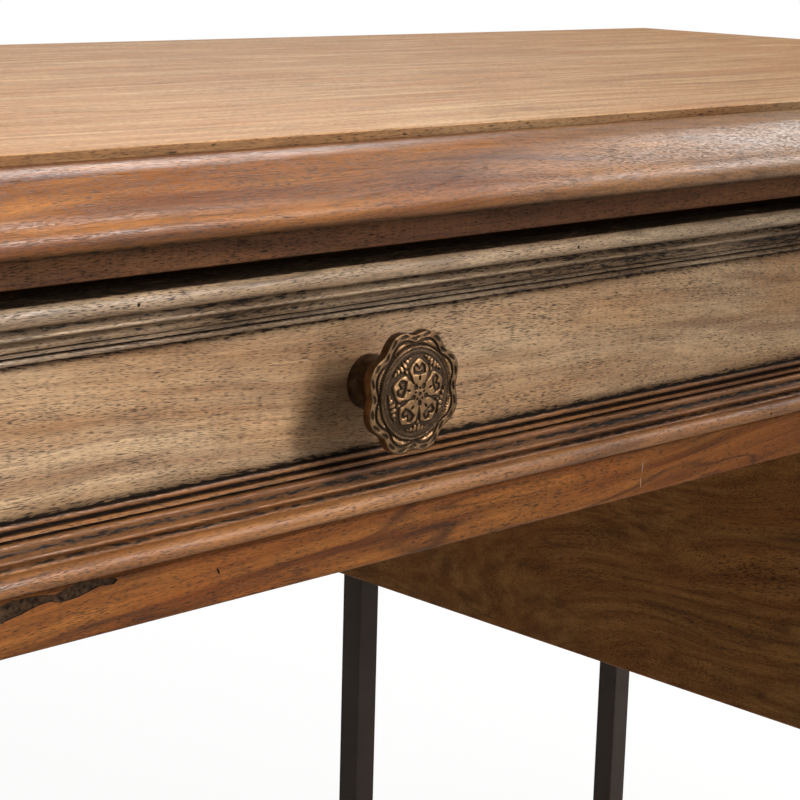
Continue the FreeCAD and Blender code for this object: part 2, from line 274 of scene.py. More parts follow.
def moulded_length(outline, length, across, step, waver):
    """One mitred length of moulding along X, its outer edge at Y = 0, in metres, with a hand-run waver."""
    bpy.ops.object.select_all(action="DESELECT")
    bpy.ops.mesh.primitive_circle_add(vertices=len(outline), radius=MM, fill_type="NOTHING")
    piece = bpy.context.object
    for point, (inward, height) in zip(piece.data.vertices, outline):
        point.co = (-length / 2, inward * MM, height * MM)
    run = piece.modifiers.new("run", "SCREW")
    run.axis = "X"
    run.angle = 0
    run.screw_offset = length
    run.steps = run.render_steps = max(2, round(length / step))
    bpy.ops.object.modifier_apply(modifier="run")
    bpy.ops.object.mode_set(mode="EDIT")
    for side in (-1, 1):
        bpy.ops.mesh.select_all(action="SELECT")
        bpy.ops.mesh.bisect(
            plane_co=(side * length / 2, 0, 0), plane_no=(side, 1, 0), use_fill=True, clear_outer=True
        )
    bpy.ops.mesh.select_all(action="SELECT")
    bpy.ops.mesh.normals_make_consistent(inside=False)
    bpy.ops.object.mode_set(mode="OBJECT")
    # Chatter of the plane: shallow waves 22 and 6 mm long over the face, and a ragged lower edge
    inner = (across - 0.4) * MM
    for point in piece.data.vertices:
        if point.co.z > 0.2 * MM and point.co.y < inner:
            depth = 0.5 + 0.5 * noise.noise(point.co * 45) + 0.25 * noise.noise(point.co * 160)
            point.co -= point.normal * waver * max(0.0, depth)
        elif point.co.z < 0.2 * MM and point.co.y < 0.2 * MM:
            point.co.y += 2 * waver * max(0.0, noise.noise(Vector((point.co.x * 150, length, 0))))
    bpy.ops.object.shade_smooth_by_angle(angle=math.radians(40))
    return piece


def speckled(name, dark, light, grain, rough):
    """Plain matter in two mottled tones, its grains so many millimetres across."""
    material, tree, shader = new_finish(name)
    place = add(tree, "TexCoord", {}).outputs["Object"]
    spread = {"Vector": place, "Scale": 1000 / grain, "Detail": 4, "Roughness": 0.65}
    grains = add(tree, "TexNoise", spread).outputs[0]
    share = add(tree, "MapRange", {0: grains, 1: 0.34, 2: 0.66}).outputs[0]
    colour = add(tree, "Mix", {0: share, 6: linear(dark), 7: linear(light)}, data_type="RGBA").outputs[2]
    tree.links.new(colour, shader.inputs["Base Color"])
    dull = add(tree, "MapRange", {0: grains, 3: rough - 0.1, 4: rough + 0.1}).outputs[0]
    tree.links.new(dull, shader.inputs["Roughness"])
    shader.inputs["Specular IOR Level"].default_value = 0.1
    bump = add(tree, "Bump", {"Height": grains, "Strength": 0.6, "Distance": grain * 0.0003}).outputs[0]
    tree.links.new(bump, shader.inputs["Normal"])
    return material


def cut(piece, cutter):
    """Takes a cutter's shape out of a piece and leaves the cutter's finish on the walls of the cut."""
    bpy.ops.object.select_all(action="DESELECT")
    bpy.context.view_layer.objects.active = piece
    taken = piece.modifiers.new("cut", "BOOLEAN")
    taken.object = cutter
    taken.solver = "EXACT"
    taken.material_mode = "TRANSFER"
    bpy.ops.object.modifier_apply(modifier="cut")
    bpy.data.objects.remove(cutter)


def scratch(piece, place, wide, tall, lean, finish):
    """A stroke so many millimetres wide and tall in the front of a piece, 0.3 mm deep."""
    bpy.ops.object.select_all(action="DESELECT")
    bpy.ops.mesh.primitive_cylinder_add(vertices=10, radius=MM / 2, depth=0.6 * MM, location=place)
    cutter = bpy.context.object
    cutter.scale = (wide, tall, 1)
    cutter.rotation_euler = (math.pi / 2, lean, 0)
    cutter.data.materials.append(finish)
    cut(piece, cutter)


def edging_wax_and_shade(place):
    """Wax in the corner against the planks, and painted shade that darkens the underside of the nose."""
    if place.y > 25.2 * MM:
        return 0.85
    # Painted shade: darkest at the underside of the nose, fading out about 3.6 mm up
    return max(0.0, 0.9 - place.z / (3.6 * MM))


def edging_sapwood_and_sheen(place):
    """A paler streak of the log's outer wood along the front, strongest right of the middle, where it also
    paints the sheen that the edging takes from the light.
    """
    return 0.64 * max(0.0, 1 - abs(place.x - 0.36) / 0.34)


# Raw wood, pale and matt, where a knock has taken the finish off
bare_wood = speckled("bare_mango", "#b48e72", "#d8b79c", 0.7, 0.7)
# Shoulder, round over, quirk and bead, in millimetres in from the nose and up from the underside
edging_outline = [(EDGING_WIDTH, 0), (EDGING_WIDTH, EDGING_SHOULDER)]
for through, end, count in (
    ((19.6, 24.05), (13.6, 22.0), 8),
    ((7.95, 16.75), (3.3, 10.9), 8),
    ((2.7, 9.6), (1.66, 8.14), 4),
    ((0, 4.6), (4.6, 0), 12),
):
    edging_outline += arc(edging_outline[-1], through, end, count)
# Ruddier than the top, with a soft gloss that draws long highlights along the moulding
EDGING_WOOD = ("#a0652b", "#643819", "#7e441b")
GLOSS = {"warmth": 0.7, "rough": 0.3, "shine": 0.3}
long_grain = mango("waxed_mango_edging", *EDGING_WOOD, turn=(0, 0, 0.05), pores=0.7, veins=0.3, **GLOSS)
cross_grain = mango("waxed_mango_edging_ends", *EDGING_WOOD, turn=(0, 0, math.pi / 2), pores=0.4, **GLOSS)
low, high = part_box("top_edging")
width, depth = high[0] - low[0], high[1] - low[1]
edges = []
for turn in range(4):
    length, other = (width, depth) if turn % 2 == 0 else (depth, width)
    edge = moulded_length(edging_outline, length, EDGING_WIDTH, 6 * MM, 0.22 * MM)
    mark(edge, "plank", lambda place: 0.21 + 0.19 * turn)
    mark(edge, "wax_and_shade", edging_wax_and_shade)
    edge.data.transform(
        Matrix.Translation((0, 0, low[2])) @ Matrix.Rotation(math.pi / 2 * turn, 4, "Z")
        @ Matrix.Translation((0, -other / 2, 0))
    )
    edge.data.materials.append(cross_grain if turn % 2 else long_grain)
    edges.append(edge)
scratch(edges[0], (71.2 * MM, low[1] + 0.3 * MM, low[2] + 6.2 * MM), 0.6, 2.6, 0.35, bare_wood)
mark(edges[0], "plank", lambda place: 0.21)
# Paler to the right: partly the wood's own tone, partly a painted sheen
mark(edges[0], "sapwood_and_sheen", edging_sapwood_and_sheen)
top_edging = joined("top_edging_run", edges)
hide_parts("top_edging")
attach(top_edging, "carcass")

# Frame under the top
# Thin rails straight from the saw, screwed up into the top. Only their edges show, below the moulding, with
# the saw's marks still across them.


def dress(name, finish):
    """Gives its finish to a piece that keeps its CAD shape."""
    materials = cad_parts[name].data.materials
    materials.clear()
    materials.append(finish)


# Dull brown scored across by the saw, so that it looks rougher and darker than planed wood
SAWN_WOOD = ("#956239", "#6b4227", "#7c4b2a")
UNPLANED = {"pores": 0.9, "warmth": 0.4, "sawn": 0.2, "rough": 0.55, "shine": 0.2}
sawn_rail = mango("sawn_mango", *SAWN_WOOD, **UNPLANED)
sawn_cross = mango("sawn_mango_cross", *SAWN_WOOD, turn=(0, 0, math.pi / 2), **UNPLANED)
for number, name in enumerate(("front_top_rail", "back_top_rail")):
    low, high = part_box(name)
    rail = board(name + "_sawn", low, high, 0.6 * MM, 0.37 + 0.3 * number)
    rail.data.materials.append(sawn_rail)
    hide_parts(name)
    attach(rail, "carcass")
dress("top_cross_rails", sawn_cross)

# Rail and back board of the kneehole
# A flat rail below the wide drawer, its lower arris rubbed round, with a pocket of bark left in its upper
# edge, and a plain board that closes the back behind the drawer.

# Warm red brown with broken dark veins, nearly matt
ruddy_rail = mango(
    "waxed_mango_rail", "#a3672f", "#5f3212", "#86471a", turn=(0, 0.05, 0), pores=0.75, warmth=0.75,
    veins=0.65, rough=0.45, shine=0.12
)
# The edge of the bark pocket, in millimetres to the right of the middle and up from the floor
BARK_EDGE = (
    (-205, 619.2), (-190, 615.6), (-175, 614.2), (-167, 614.7), (-160, 616.3), (-152.5, 617.6), (-145, 619.3),
    (-141.3, 619.6), (-137.5, 618.4), (-131.3, 618.7), (-126.6, 619.7), (-121.9, 620.8), (-116.4, 620.3),
    (-114.9, 621.5), (-116.8, 622.7), (-124.3, 623.3), (-129.7, 623.6), (-134.4, 622.8), (-139, 621.5),
    (-144, 622.3), (-148.7, 622.8), (-155.4, 622.8), (-159.8, 621.8), (-167, 620.8), (-178, 620.6),
    (-192, 620.2),
)


def bark_outline(depth):
    """The outline of the pocket as one flat face, so far behind the front of the rail."""
    bpy.ops.object.select_all(action="DESELECT")
    bpy.ops.mesh.primitive_circle_add(vertices=len(BARK_EDGE), radius=MM, fill_type="NGON")
    for point, (x, z) in zip(bpy.context.object.data.vertices, BARK_EDGE):
        point.co = (x * MM, low[1] + depth * MM, z * MM)
    bpy.ops.object.mode_set(mode="EDIT")
    bpy.ops.mesh.select_all(action="SELECT")
    return bpy.context.object


# Crumbling dark brown without any gloss, and near black for the wax in cuts and holes, which also paints the
# shade of their depth
bark = speckled("dry_bark", "#140d08", "#523c29", 2.0, 0.85)
black_wax_and_shade = speckled("black_wax_and_shade", "#0d0907", "#1d1511", 0.8, 0.6)
low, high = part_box("kneehole_rail")
rail = board("kneehole_rail_planed", low, high, 1.6 * MM, 0.64)
rail.data.materials.append(ruddy_rail)
# The pocket's walls and the thin rim left round the bark are near black: wax, and painted shade for the depth
# of the crack
pocket = bark_outline(1.3)
bpy.ops.mesh.extrude_region_move(TRANSFORM_OT_translate={"value": (0, -2.5 * MM, 0)})
bpy.ops.mesh.select_all(action="SELECT")
bpy.ops.mesh.normals_make_consistent(inside=False)
bpy.ops.object.mode_set(mode="OBJECT")
pocket.data.materials.append(black_wax_and_shade)
cut(rail, pocket)
crust = bark_outline(1.2)
bpy.ops.mesh.inset(thickness=0.55 * MM)
bpy.ops.mesh.select_all(action="INVERT")
bpy.ops.mesh.delete(type="FACE")
bpy.ops.mesh.select_all(action="SELECT")
bpy.ops.mesh.extrude_region_move(TRANSFORM_OT_translate={"value": (0, -0.8 * MM, 0)})
bpy.ops.mesh.quads_convert_to_tris()
bpy.ops.mesh.subdivide(number_cuts=3)
bpy.ops.mesh.select_all(action="SELECT")
bpy.ops.mesh.normals_make_consistent(inside=False)
bpy.ops.object.mode_set(mode="OBJECT")
for point in crust.data.vertices:
    point.co.y += 0.3 * MM * (1 + noise.noise(point.co * 420) + noise.noise(point.co * 1100))
bpy.ops.object.shade_smooth()
crust.data.materials.append(bark)
# A near black nick: wax, with painted shade for its depth
scratch(rail, (-73.1 * MM, low[1], 616.1 * MM), 0.9, 2.6, -0.5, black_wax_and_shade)
scratch(rail, (150.4 * MM, low[1], 616.2 * MM), 0.8, 6.5, 0.1, bare_wood)
scratch(rail, (149.6 * MM, low[1], 609.4 * MM), 0.6, 4.5, -0.08, bare_wood)
rail = joined("kneehole_rail_planed", [rail, crust])
flatten(rail)
mark(rail, "plank", lambda place: 0.64)
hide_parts("kneehole_rail")
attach(rail, "carcass")
low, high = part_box("kneehole_back")
back = board("kneehole_back_planed", low, high, 1.0 * MM, 0.28)
back.data.materials.append(ruddy_rail)
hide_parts("kneehole_back")
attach(back, "carcass")

# Pedestals
# Each is two wide sides with a back, a bottom and a divider let in between them, all of planed mango with the
# grain of the sides running from front to back.

# Golden brown with a grain that swirls across the wide boards, matt enough to stay deep in the shade
side_wood = mango(
    "waxed_mango_side", "#b98146", "#83562a", "#9e632e", turn=(0.1, 0, math.pi / 2 + 0.17), pores=0.8,
    warmth=0.75, veins=0.3, swirl=85, rough=0.52, shine=0.15
)
for hand, tone in (("left", 0.07), ("right", 0.52)):
    for number, part in enumerate(("inner_side", "outer_side", "back", "bottom", "divider")):
        name = f"{hand}_{part}"
        low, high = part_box(name)
        rub, finish = (1.4 * MM, side_wood) if "side" in part else (1.0 * MM, ruddy_rail)
        piece = board(name + "_planed", low, high, rub, tone + 0.09 * number)
        piece.data.materials.append(finish)
        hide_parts(name)
        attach(piece, "carcass")

# Legs
# Square iron bar, 16 mm, welded to a plate that is screwed under the pedestal, blackened in oil and waxed.
# Each bar stands on a thin rubber foot.

# Nearly black with a faint warm mottle and forge scale: the oxide skin shows no metal, only a dull sheen
blackened, tree, shader = new_finish("blackened_iron")
place = add(tree, "TexCoord", {}).outputs["Object"]
spread = {"Vector": place, "Scale": 1 / (6 * MM), "Detail": 5, "Roughness": 0.65}
scale = add(tree, "TexNoise", spread).outputs[0]
patch = add(tree, "TexNoise", {"Vector": place, "Scale": 1 / (45 * MM), "Detail": 3}).outputs[0]
colour = add(tree, "Mix", {0: patch, 6: linear("#42362f"), 7: linear("#5c5049")}, data_type="RGBA").outputs[2]
tree.links.new(colour, shader.inputs["Base Color"])
dull = add(tree, "MapRange", {0: scale, 1: 0.3, 2: 0.7, 3: 0.45, 4: 0.6}).outputs[0]
tree.links.new(dull, shader.inputs["Roughness"])
bump = add(tree, "Bump", {"Height": scale, "Strength": 0.35, "Distance": 0.3 * MM}).outputs[0]
tree.links.new(bump, shader.inputs["Normal"])
shader.inputs["Specular IOR Level"].default_value = 0.15
PLATE = 3.0 * MM
BAR = 16.0 * MM
for hand in ("left", "right"):
    for end in ("front", "rear"):
        for which in ("inner", "outer"):
            name = f"{hand}_{end}_{which}_leg"
            low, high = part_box(name)
            weld = high[2] - PLATE
            inward_x = (which == "inner") == (hand == "right")
            bar_x = low[0] if inward_x else high[0] - BAR
            bar_y = low[1] if end == "front" else high[1] - BAR
            bar = board("bar", (bar_x, bar_y, low[2]), (bar_x + BAR, bar_y + BAR, weld), 0.9 * MM, 0)
            plate = board("plate", (low[0], low[1], weld), high, 0.5 * MM, 0)
            leg = joined(name + "_bar", [bar, plate])
            leg.data.materials.append(blackened)
            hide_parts(name)
            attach(leg, "carcass")

# Feet, screws and bolts
# Thin rubber pads moulded to fit under the bars, and zinc-plated steel screws and knob bolts, which only show
# from below or inside.

# A matt black line under each bar
rubber, tree, shader = new_finish("black_rubber")
place = add(tree, "TexCoord", {}).outputs["Object"]
grit = add(tree, "TexNoise", {"Vector": place, "Scale": 1 / (1.2 * MM), "Detail": 3}).outputs[0]
colour = add(tree, "Mix", {0: grit, 6: linear("#141414"), 7: linear("#262524")}, data_type="RGBA").outputs[2]
tree.links.new(colour, shader.inputs["Base Color"])
shader.inputs["Roughness"].default_value = 0.8
# Pale grey metal with a cloudy bloom, bright only where it catches a light
zinc, tree, shader = new_finish("zinc_plated_steel")
place = add(tree, "TexCoord", {}).outputs["Object"]
bloom = add(tree, "TexNoise", {"Vector": place, "Scale": 1 / (2 * MM), "Detail": 3}).outputs[0]
colour = add(tree, "Mix", {0: bloom, 6: linear("#8f8c86"), 7: linear("#b4b0a6")}, data_type="RGBA").outputs[2]
tree.links.new(colour, shader.inputs["Base Color"])
dull = add(tree, "MapRange", {0: bloom, 3: 0.3, 4: 0.5}).outputs[0]
tree.links.new(dull, shader.inputs["Roughness"])
shader.inputs["Metallic"].default_value = 1.0
for name, finish in (("leg_feet", rubber), ("leg_screws", zinc), ("top_screws", zinc)):
    dress(name, finish)

# Runners and stops
# Battens and blocks of unfinished pale wood inside the carcass, sawn to length, then glued and pinned to the
# sides and rails.

# Dry and pale, with no wax to deepen it
RAW_WOOD = ("#c3a67c", "#a3835a", "#b08a5c")
pale_wood = mango("unfinished_mango", *RAW_WOOD, turn=(0, 0, math.pi / 2), warmth=0.3, rough=0.62)
pale_cross = mango("unfinished_mango_cross", *RAW_WOOD, warmth=0.3, rough=0.62)
dress("drawer_runners", pale_wood)
dress("drawer_stops", pale_cross)

# Drawers
# Each has a planed front with mitred mouldings glued on round a flat field, black wax rubbed into every
# groove, and a plain box behind it.

# The moulding in millimetres: its width, the radius of the torus along its outer edge, the height that the
# torus springs from, and the coves and grooves by their place in from that edge, each groove with its brim
MOULDING = 20.5
TORUS = 3.5
CREST = 10.0
SPAN = MOULDING - 2 * TORUS
COVES = (8.2, 12.5)
GROOVES = ((15.5, 3.3), (17.6, 1.7), (20.5, 2.0))
# Wax on the upper and lower strips; the upper one's last entry is painted shade next to the field
UPPER_WAX_AND_SHADE = {"cove": 0.52, "spread": 1.8, "smear": 0.42, "worn": 0.28, "lean": -1.5, "painted_shade_near_field": 0.22}
LOWER_WAX = {"cove": 0.75, "spread": 0.9, "smear": 0.48, "worn": 0.0, "lean": 1.2, "painted_shade_near_field": 0.0}


def moulding_wax_and_shade(place, cove, spread, smear, worn, lean, painted_shade_near_field):
    """How much wax a place on the moulding holds: most in its grooves, some in its coves, and a smear that
    comes and goes along the strip, thinner on the worn torus. It also holds painted shade: on the outer edge
    face in the gap round the drawer, and on the upper strip next to the field."""
    inward, height = place.y / MM, place.z / MM
    # Painted shade on the outer edge face, in the gap round the drawer
    if inward < 0.3:
        return 0.95
    if any(abs(inward - groove) < 0.7 and height < brim for groove, brim in GROOVES):
        return 1.2
    held = max(cove * math.exp(-((inward - middle) / spread) ** 2) for middle in COVES)
    reach = max(0.2, 0.3 + lean * place.x + noise.noise(Vector((place.x * 14, cove * 7, 0.3))))
    held += reach * (smear if inward > 2 * TORUS else worn)
    # Painted shade on the upper strip's part next to the field, below its torus
    if inward > 14.0:
        held += painted_shade_near_field
    return held


def field_wax_and_shade(place):
    """Wax rubbed into the corner where the field meets its moulding, fading out over a finger's width, and
    painted shade on the board's edge just behind the moulding, in the gap round the drawer.
    """
    # Painted shade on the board's edge just behind its front face
    if place.y > low[1] + 0.4 * MM:
        return 1.0 if place.y < low[1] + 1.2 * MM else 0.0
    from_edge = min(place.x - low[0], high[0] - place.x, place.z - low[2], high[2] - place.z) / MM
    return 0.95 * math.exp(-max(0.0, from_edge - MOULDING) / 2.2)


def along(share, rise):
    """A place on the moulding between the torus and the field, as shares of its span and crest."""
    return (2 * TORUS + SPAN * share, CREST * rise)


# Torus, cove, bead, cove, fillet, two sunk grooves and a bead against the field
moulding_outline = [(0, 0), (0, CREST)]
moulding_outline += arc((0, CREST), (TORUS, CREST + TORUS), (2 * TORUS, CREST), 14)
moulding_outline += [along(0, 0.84)]
for through, end, count in (
    ((0.10, 0.77), (0.19, 0.86), 5),
    ((0.26, 0.92), (0.32, 0.85), 5),
    ((0.39, 0.69), (0.49, 0.65), 6),
    ((0.56, 0.66), (0.61, 0.58), 5),
):
    moulding_outline += arc(moulding_outline[-1], along(*through), along(*end), count)
moulding_outline += [along(0.61, 0.28), along(0.65, 0.28), along(0.65, 0.38), along(0.76, 0.38)]
moulding_outline += [along(0.76, 0.12), along(0.81, 0.12)]
moulding_outline += arc(along(0.81, 0.12), along(0.905, 0.25), along(1, 0.12), 6)
moulding_outline += [along(1, 0)]

# Worm holes in each strip: the share of the way along the front, and millimetres in from its edge
WORMHOLES = (((0.372, 5.6), (0.81, 3.0)), (), ((0.3467, 3.7), (0.631, 3.8)), ())
# Pale greyish straw, the lightest wood on the front, full of short dark pores and faintly curled
field_wood = mango(
    "waxed_mango_field", "#c7a57e", "#9b7655", "#b07c48", turn=(0, -0.06, 0), pores=0.78, curl=0.05,
    rough=0.45, shine=0.28
)
# As pale as the field and greyed by handling, glossy along its torus where hands have polished it
upper_wood = mango(
    "waxed_mango_upper_moulding", "#c6a884", "#967b5f", "#a67f5a", pores=0.85, warmth=0.45, veins=0.5,
    rough=0.37, shine=0.5
)
# Warm red brown like the rail, its ridges bright between lines of black
lower_wood = mango(
    "waxed_mango_lower_moulding", "#a8713f", "#774823", "#9c5f29", pores=0.8, warmth=0.6, rough=0.38,
    shine=0.36
)
# Between the two in tone, with its grain upright
upright_wood = mango(
    "waxed_mango_upright_moulding", "#a8794e", "#79532f", "#93602f", turn=(0, math.pi / 2, 0), pores=0.75
)
# Clean pale wood inside, smooth and without gloss
box_wood = mango(
    "sanded_mango_box", "#c7a97d", "#a78659", "#b48c5d", turn=(0, 0, math.pi / 2), warmth=0.4, rough=0.6
)
box_floor = mango(
    "sanded_mango_box_bottom", "#c9ad83", "#b0905f", "#b89262", pores=0.4, warmth=0.4, rough=0.6
)
drawers = (
    "centre_drawer", "left_upper_drawer", "left_lower_drawer", "right_upper_drawer", "right_lower_drawer"
)
for number, drawer in enumerate(drawers):
    low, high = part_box(drawer + "_front")
    middle = (Vector(low) + Vector(high)) / 2
    width, height = high[0] - low[0], high[2] - low[2]
    front = board(drawer + "_field", low, high, 0.8 * MM, 0.11 + 0.23 * number)
    bpy.ops.object.mode_set(mode="EDIT")
    bpy.ops.mesh.select_all(action="DESELECT")
    bpy.ops.object.mode_set(mode="OBJECT")
    for face in front.data.polygons:
        face.select = face.normal.y < -0.99
    bpy.ops.object.mode_set(mode="EDIT")
    for inset in (MOULDING - 0.8, 0.8, 1.2, 2.0, 3.0, 4.0):
        bpy.ops.mesh.inset(thickness=inset * MM)
    bpy.ops.object.mode_set(mode="OBJECT")

    mark(front, "wax_and_shade", field_wax_and_shade)
    front.data.materials.append(field_wood)
    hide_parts(drawer + "_front")
    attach(front, drawer)

    strips = []
    for turn, wood in enumerate((lower_wood, upright_wood, upper_wood, upright_wood)):
        length, other = (width, height) if turn % 2 == 0 else (height, width)
        strip = moulded_length(moulding_outline, length, MOULDING, 3.0 * MM, 0.3 * MM)
        log_place = 0.05 + 0.31 * turn + 0.17 * number
        rubbed_and_shaded = UPPER_WAX_AND_SHADE if turn == 2 else LOWER_WAX
        mark(strip, "plank", lambda place: log_place)
        mark(strip, "wax_and_shade", lambda place: moulding_wax_and_shade(place, **rubbed_and_shaded))
        strip.data.transform(
            Matrix.Translation((middle.x, low[1], middle.z)) @ Matrix.Rotation(math.pi / 2, 4, "X")
            @ Matrix.Rotation(math.pi / 2 * turn, 4, "Z") @ Matrix.Translation((0, -other / 2, 0))
        )
        strip.data.materials.append(wood)
        for across, inward in WORMHOLES[turn]:
            hole = Vector((low[0] + across * width, low[1] - (CREST + TORUS) * MM, 0))
            hole.z = high[2] - inward * MM if turn == 2 else low[2] + inward * MM
            # Worm holes in near black: painted shade for their depth, and wax
            scratch(strip, hole, 1.2, 1.3, 0.4, black_wax_and_shade)
            mark(strip, "plank", lambda place: log_place)
        strips.append(strip)
    mouldings = joined(drawer + "_mouldings_run", strips)
    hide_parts(drawer + "_mouldings")
    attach(mouldings, drawer)

    for part, finish in (("box", box_wood), ("bottom", box_floor), ("knob_bolt", zinc)):
        dress(f"{drawer}_{part}", finish)

# Knobs
# Cast brass, bolted through the drawer front, with a stout turned stem and a lobed face: a roped rim, a
# crescent in every lobe, a fine-grained ring and a low dome of five pierced petals.

# All lengths are in millimetres from the axis or out from the drawer
KNOB_LOBES = 8
KNOB_REACH = 22.5
KNOB_NOTCH = 2.2
KNOB_ROPE = 24
KNOB_PETALS = 5
RING = (14.1, 16.9)
RIM_FACE = 24.0
DOME_RADIUS = 14.85
DOME_RISE = 1.82
DOME_TOP = 26.6
RELIEF = 0.95
ROUND = 320
FACE_RINGS = 76


def step(low, high, value):
    """Smooth step from 0 to 1, or from 1 to 0 when low is above high."""
    share = min(1.0, max(0.0, (value - low) / (high - low)))
    return share * share * (3 - 2 * share)


def lobed(angle):
    """Radius of the rim in millimetres, with a notch on each side of every lobe."""
    wave = 0.5 - 0.5 * math.cos(KNOB_LOBES * angle)
    return KNOB_REACH - KNOB_NOTCH * (1 - wave ** 0.72)


def spot(x, y, long, wide):
    """1 inside an oval hollow and 0 outside it, with a soft edge."""
    return step(1.25, 0.7, math.hypot(x / long, y / wide))


def ornament(angle, radius):
    """Height of the cast relief, 1 on its ridges and 0 in its hollows."""
    from_rim = lobed(angle) - radius
    if radius > RING[1]:
        # Roped rim with a slanting nick to every strand, a wavy groove, and a toothed crescent in each lobe
        turn = math.tau / KNOB_ROPE
        along = ((angle + turn / 2) % turn - turn / 2) * radius
        nick = spot(along, from_rim - 1.25 - 0.18 * along, 1.65, 0.62)
        rope = 0.71 * step(2.75, 2.35, from_rim) * (1 - 0.9 * nick)
        crescent = step(3.3, 3.75, from_rim) * step(RING[1], 17.25, radius)
        teeth = 0.5 + 0.5 * math.sin(angle * 112)
        return max(rope, crescent * (1 - 0.75 * teeth * step(18.2, 17.4, radius)))
    if radius > RING[0]:
        # Ring: two raised lines on a ground of fine grain
        line = step(15.9, 16.15, radius) * step(16.75, 16.5, radius)
        inner = step(14.5, 14.7, radius) * step(15.2, 15.0, radius)
        grit = noise.noise(Vector((math.cos(angle), math.sin(angle), 0)) * radius * 2.4)
        return max(0.7 * line, 0.55 * inner, 0.4 + 0.35 * grit)
    turn = math.tau / KNOB_PETALS
    off = (angle - math.pi / 2 + turn / 2) % turn - turn / 2
    u, w = radius * math.cos(off), abs(radius * math.sin(off))
    beside = (turn / 2 - abs(off)) * radius
    # Petals: pointed arches parted by tapering gaps, each pierced round a small raised heart
    share = max(0.0, (u - 7.2) / 5.4)
    half = 5.0 * (1 - share ** 2.0) if share < 1 else -1.0
    gap = 0.25 + 0.75 * step(5.0, 8.5, radius)
    petal = step(-0.3, 0.3, min(half - w, (beside - gap) if radius > 4.8 else 9.0))
    top = 10.7 - 1.3 * math.exp(-(w / 0.7) ** 2) - 0.3 * max(0.0, w - 1.0) ** 1.7
    inside = min(top - u, u - 6.9 - 0.12 * w, 2.9 - w)
    petal *= 1 - step(-0.3, 0.2, inside) + 0.6 * step(0.75, 1.15, inside)
    # Leaves: small curled blades between the petal tips
    blades = max(
        spot(beside - 0.95, radius - 12.4, 0.75, 1.3), spot(beside - 2.7, radius - 12.9, 0.85, 0.8),
        spot(beside, radius - 9.9, 0.55, 0.9), spot(beside - 4.3, radius - 13.35, 0.8, 0.35),
    )
    blades *= step(0.25, 0.6, w - half)
    # Rosette: small hollows about the middle
    eye = max(
        spot(radius - 3.3, beside, 1.05, 0.9), spot(radius - 5.6, off * radius, 0.8, 0.5),
        spot(radius, 0, 0.7, 0.7), spot(radius - 2.1, off * radius, 0.35, 0.5),
    )
    return 0.12 + 0.88 * max(petal, blades) * (1 - eye) * (1 - 0.3 * step(7.5, 3.0, radius))


def smooth_face(radius):
    """How far the face stands from the drawer before it is cast with its relief."""
    if radius > DOME_RADIUS:
        return RIM_FACE + 0.78 * step(17.1, 16.2, radius)
    ball = (DOME_RADIUS ** 2 + DOME_RISE ** 2) / (2 * DOME_RISE)
    return DOME_TOP - ball + math.sqrt(ball ** 2 - radius ** 2)


# The side of the rim as reach and inset from the lobes, then the turned back and stem as reach and radius
side_outline = [(23.65, 0.0), (22.0, 0.0), (20.35, 0.0), (20.0, 0.4)]
turned_outline = [(20.0, 17.1)] + arc((20, 17.1), (17.2, 11.5), (12.4, 10), 12)
turned_outline += [(12.4, 10.6), (11.9, 10.85), (10.9, 10.85), (10.4, 10.6), (10.4, 9.7)]
turned_outline += arc((10.4, 9.7), (6, 8.6), (1.6, 10), 10) + [(0, 10)]
rows = FACE_RINGS + len(side_outline) + len(turned_outline)
bpy.ops.object.select_all(action="DESELECT")
bpy.ops.mesh.primitive_grid_add(x_subdivisions=ROUND, y_subdivisions=rows - 1, size=MM)
pattern = bpy.context.object
pattern.name = "knob_pattern"
relief = []
for number, point in enumerate(pattern.data.vertices):
    row, column = divmod(number, ROUND + 1)
    angle = math.tau * (column % ROUND) / ROUND
    ridge = 1.0
    if row < FACE_RINGS:
        share = row / (FACE_RINGS - 1)
        lobes = lobed(angle) / KNOB_REACH
        radius = share * KNOB_REACH * (1 + (lobes - 1) * step(0.66, 0.92, share))
        ridge = ornament(angle, radius)
        grain = 0.12 * noise.noise(Vector((radius * math.cos(angle), radius * math.sin(angle), 0)) * 0.9)
        rounded = 0.3 * step(0.975, 1.0, share)
        reach = smooth_face(radius) - RELIEF * (1 - ridge) - max(0.0, grain) - rounded
    elif row < FACE_RINGS + len(side_outline):
        reach, inset = side_outline[row - FACE_RINGS]
        radius = lobed(angle) - inset
        ridge = 0.75
    else:
        reach, radius = turned_outline[row - FACE_RINGS - len(side_outline)]
        ridge = 0.6
    relief.append(1.0 - ridge)
    point.co = (radius * MM * math.cos(angle), -reach * MM, radius * MM * math.sin(angle))
hollow = pattern.data.attributes.new("hollow", "FLOAT", "POINT")
hollow.data.foreach_set("value", relief)
bpy.ops.object.mode_set(mode="EDIT")
bpy.ops.mesh.select_all(action="SELECT")
bpy.ops.mesh.remove_doubles(threshold=0.00001)
bpy.ops.mesh.select_all(action="DESELECT")
bpy.ops.mesh.select_non_manifold()
bpy.ops.mesh.edge_face_add()
bpy.ops.mesh.select_all(action="SELECT")
bpy.ops.mesh.normals_make_consistent(inside=False)
bpy.ops.object.mode_set(mode="OBJECT")
bpy.ops.object.shade_smooth_by_angle(angle=math.radians(50))

